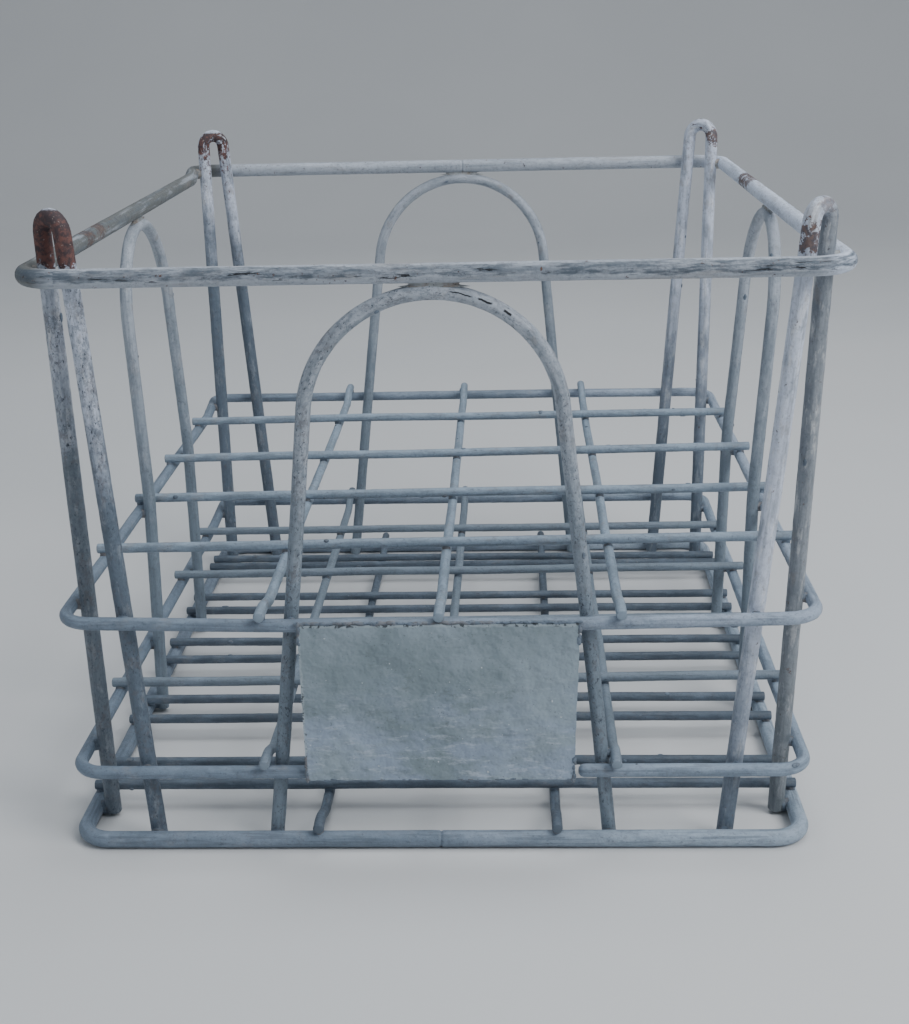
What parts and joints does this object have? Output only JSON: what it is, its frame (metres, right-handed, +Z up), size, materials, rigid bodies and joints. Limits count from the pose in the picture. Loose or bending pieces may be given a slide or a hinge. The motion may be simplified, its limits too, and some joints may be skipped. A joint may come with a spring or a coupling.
{
  "type": "milk bottle crate",
  "caption": "Open welded wire crate with a low divider grid, corner stacking hairpins and a blank plate; carries milk bottles upright in separate cells.",
  "frame": {"origin": "middle of the crate's outline, on the floor", "axes": "+X to the crate's right seen from the plate's side, +Y from the plate's side to the back, +Z up"},
  "size_m": [0.3502, 0.4178, 0.292],
  "materials": {
    "rim_ring": "worn pale paint over wire, chipped and scratched, with small rust patches",
    "middle_ring": "worn pale paint over wire, chipped and scratched",
    "lower_ring": "worn pale paint over wire, chipped and scratched",
    "base_ring": "worn pale paint over wire, chipped and scratched",
    "hairpin_front_left": "worn pale paint over wire, chipped and scratched, rusted on the bend",
    "hairpin_front_right": "worn pale paint over wire, chipped and scratched, rusted on the bend",
    "hairpin_back_left": "worn pale paint over wire, chipped and scratched, rusted on the bend",
    "hairpin_back_right": "worn pale paint over wire, chipped and scratched, rusted on the bend",
    "arch_front": "worn pale paint over wire, chipped and scratched",
    "arch_back": "worn pale paint over wire, chipped and scratched",
    "arch_left": "worn pale paint over wire, chipped and scratched",
    "arch_right": "worn pale paint over wire, chipped and scratched",
    "upper_cross_1": "worn pale paint over wire, chipped and scratched",
    "upper_cross_2": "worn pale paint over wire, chipped and scratched",
    "upper_cross_3": "worn pale paint over wire, chipped and scratched",
    "upper_cross_4": "worn pale paint over wire, chipped and scratched",
    "upper_long_1": "worn pale paint over wire, chipped and scratched",
    "upper_long_2": "worn pale paint over wire, chipped and scratched",
    "upper_long_3": "worn pale paint over wire, chipped and scratched",
    "lower_cross_1": "dull bluish grey weathered metal",
    "lower_cross_2": "dull bluish grey weathered metal",
    "lower_cross_3": "dull bluish grey weathered metal",
    "lower_cross_4": "dull bluish grey weathered metal",
    "lower_long_1": "dull bluish grey weathered metal",
    "lower_long_2": "dull bluish grey weathered metal",
    "lower_long_3": "dull bluish grey weathered metal",
    "floor_cross_01": "dull bluish grey weathered metal",
    "floor_cross_02": "dull bluish grey weathered metal",
    "floor_cross_03": "dull bluish grey weathered metal",
    "floor_cross_04": "dull bluish grey weathered metal",
    "floor_cross_05": "dull bluish grey weathered metal",
    "floor_cross_06": "dull bluish grey weathered metal",
    "floor_cross_07": "dull bluish grey weathered metal",
    "floor_cross_08": "dull bluish grey weathered metal",
    "floor_cross_09": "dull bluish grey weathered metal",
    "floor_cross_10": "dull bluish grey weathered metal",
    "floor_long_1": "dull bluish grey weathered metal",
    "floor_long_2": "dull bluish grey weathered metal",
    "name_plate": "dull blue-grey scuffed sheet metal"
  },
  "bodies": {
    "root": {"rim_ring": "rim_ring", "middle_ring": "middle_ring", "lower_ring": "lower_ring", "base_ring": "base_ring", "hairpin_front_left": "hairpin_front_left", "hairpin_front_right": "hairpin_front_right", "hairpin_back_left": "hairpin_back_left", "hairpin_back_right": "hairpin_back_right", "arch_front": "arch_front", "arch_back": "arch_back", "arch_left": "arch_left", "arch_right": "arch_right", "upper_cross_1": "upper_cross_1", "upper_cross_2": "upper_cross_2", "upper_cross_3": "upper_cross_3", "upper_cross_4": "upper_cross_4", "upper_long_1": "upper_long_1", "upper_long_2": "upper_long_2", "upper_long_3": "upper_long_3", "lower_cross_1": "lower_cross_1", "lower_cross_2": "lower_cross_2", "lower_cross_3": "lower_cross_3", "lower_cross_4": "lower_cross_4", "lower_long_1": "lower_long_1", "lower_long_2": "lower_long_2", "lower_long_3": "lower_long_3", "floor_cross_01": "floor_cross_01", "floor_cross_02": "floor_cross_02", "floor_cross_03": "floor_cross_03", "floor_cross_04": "floor_cross_04", "floor_cross_05": "floor_cross_05", "floor_cross_06": "floor_cross_06", "floor_cross_07": "floor_cross_07", "floor_cross_08": "floor_cross_08", "floor_cross_09": "floor_cross_09", "floor_cross_10": "floor_cross_10", "floor_long_1": "floor_long_1", "floor_long_2": "floor_long_2", "name_plate": "name_plate"}
  },
  "joints": []
}
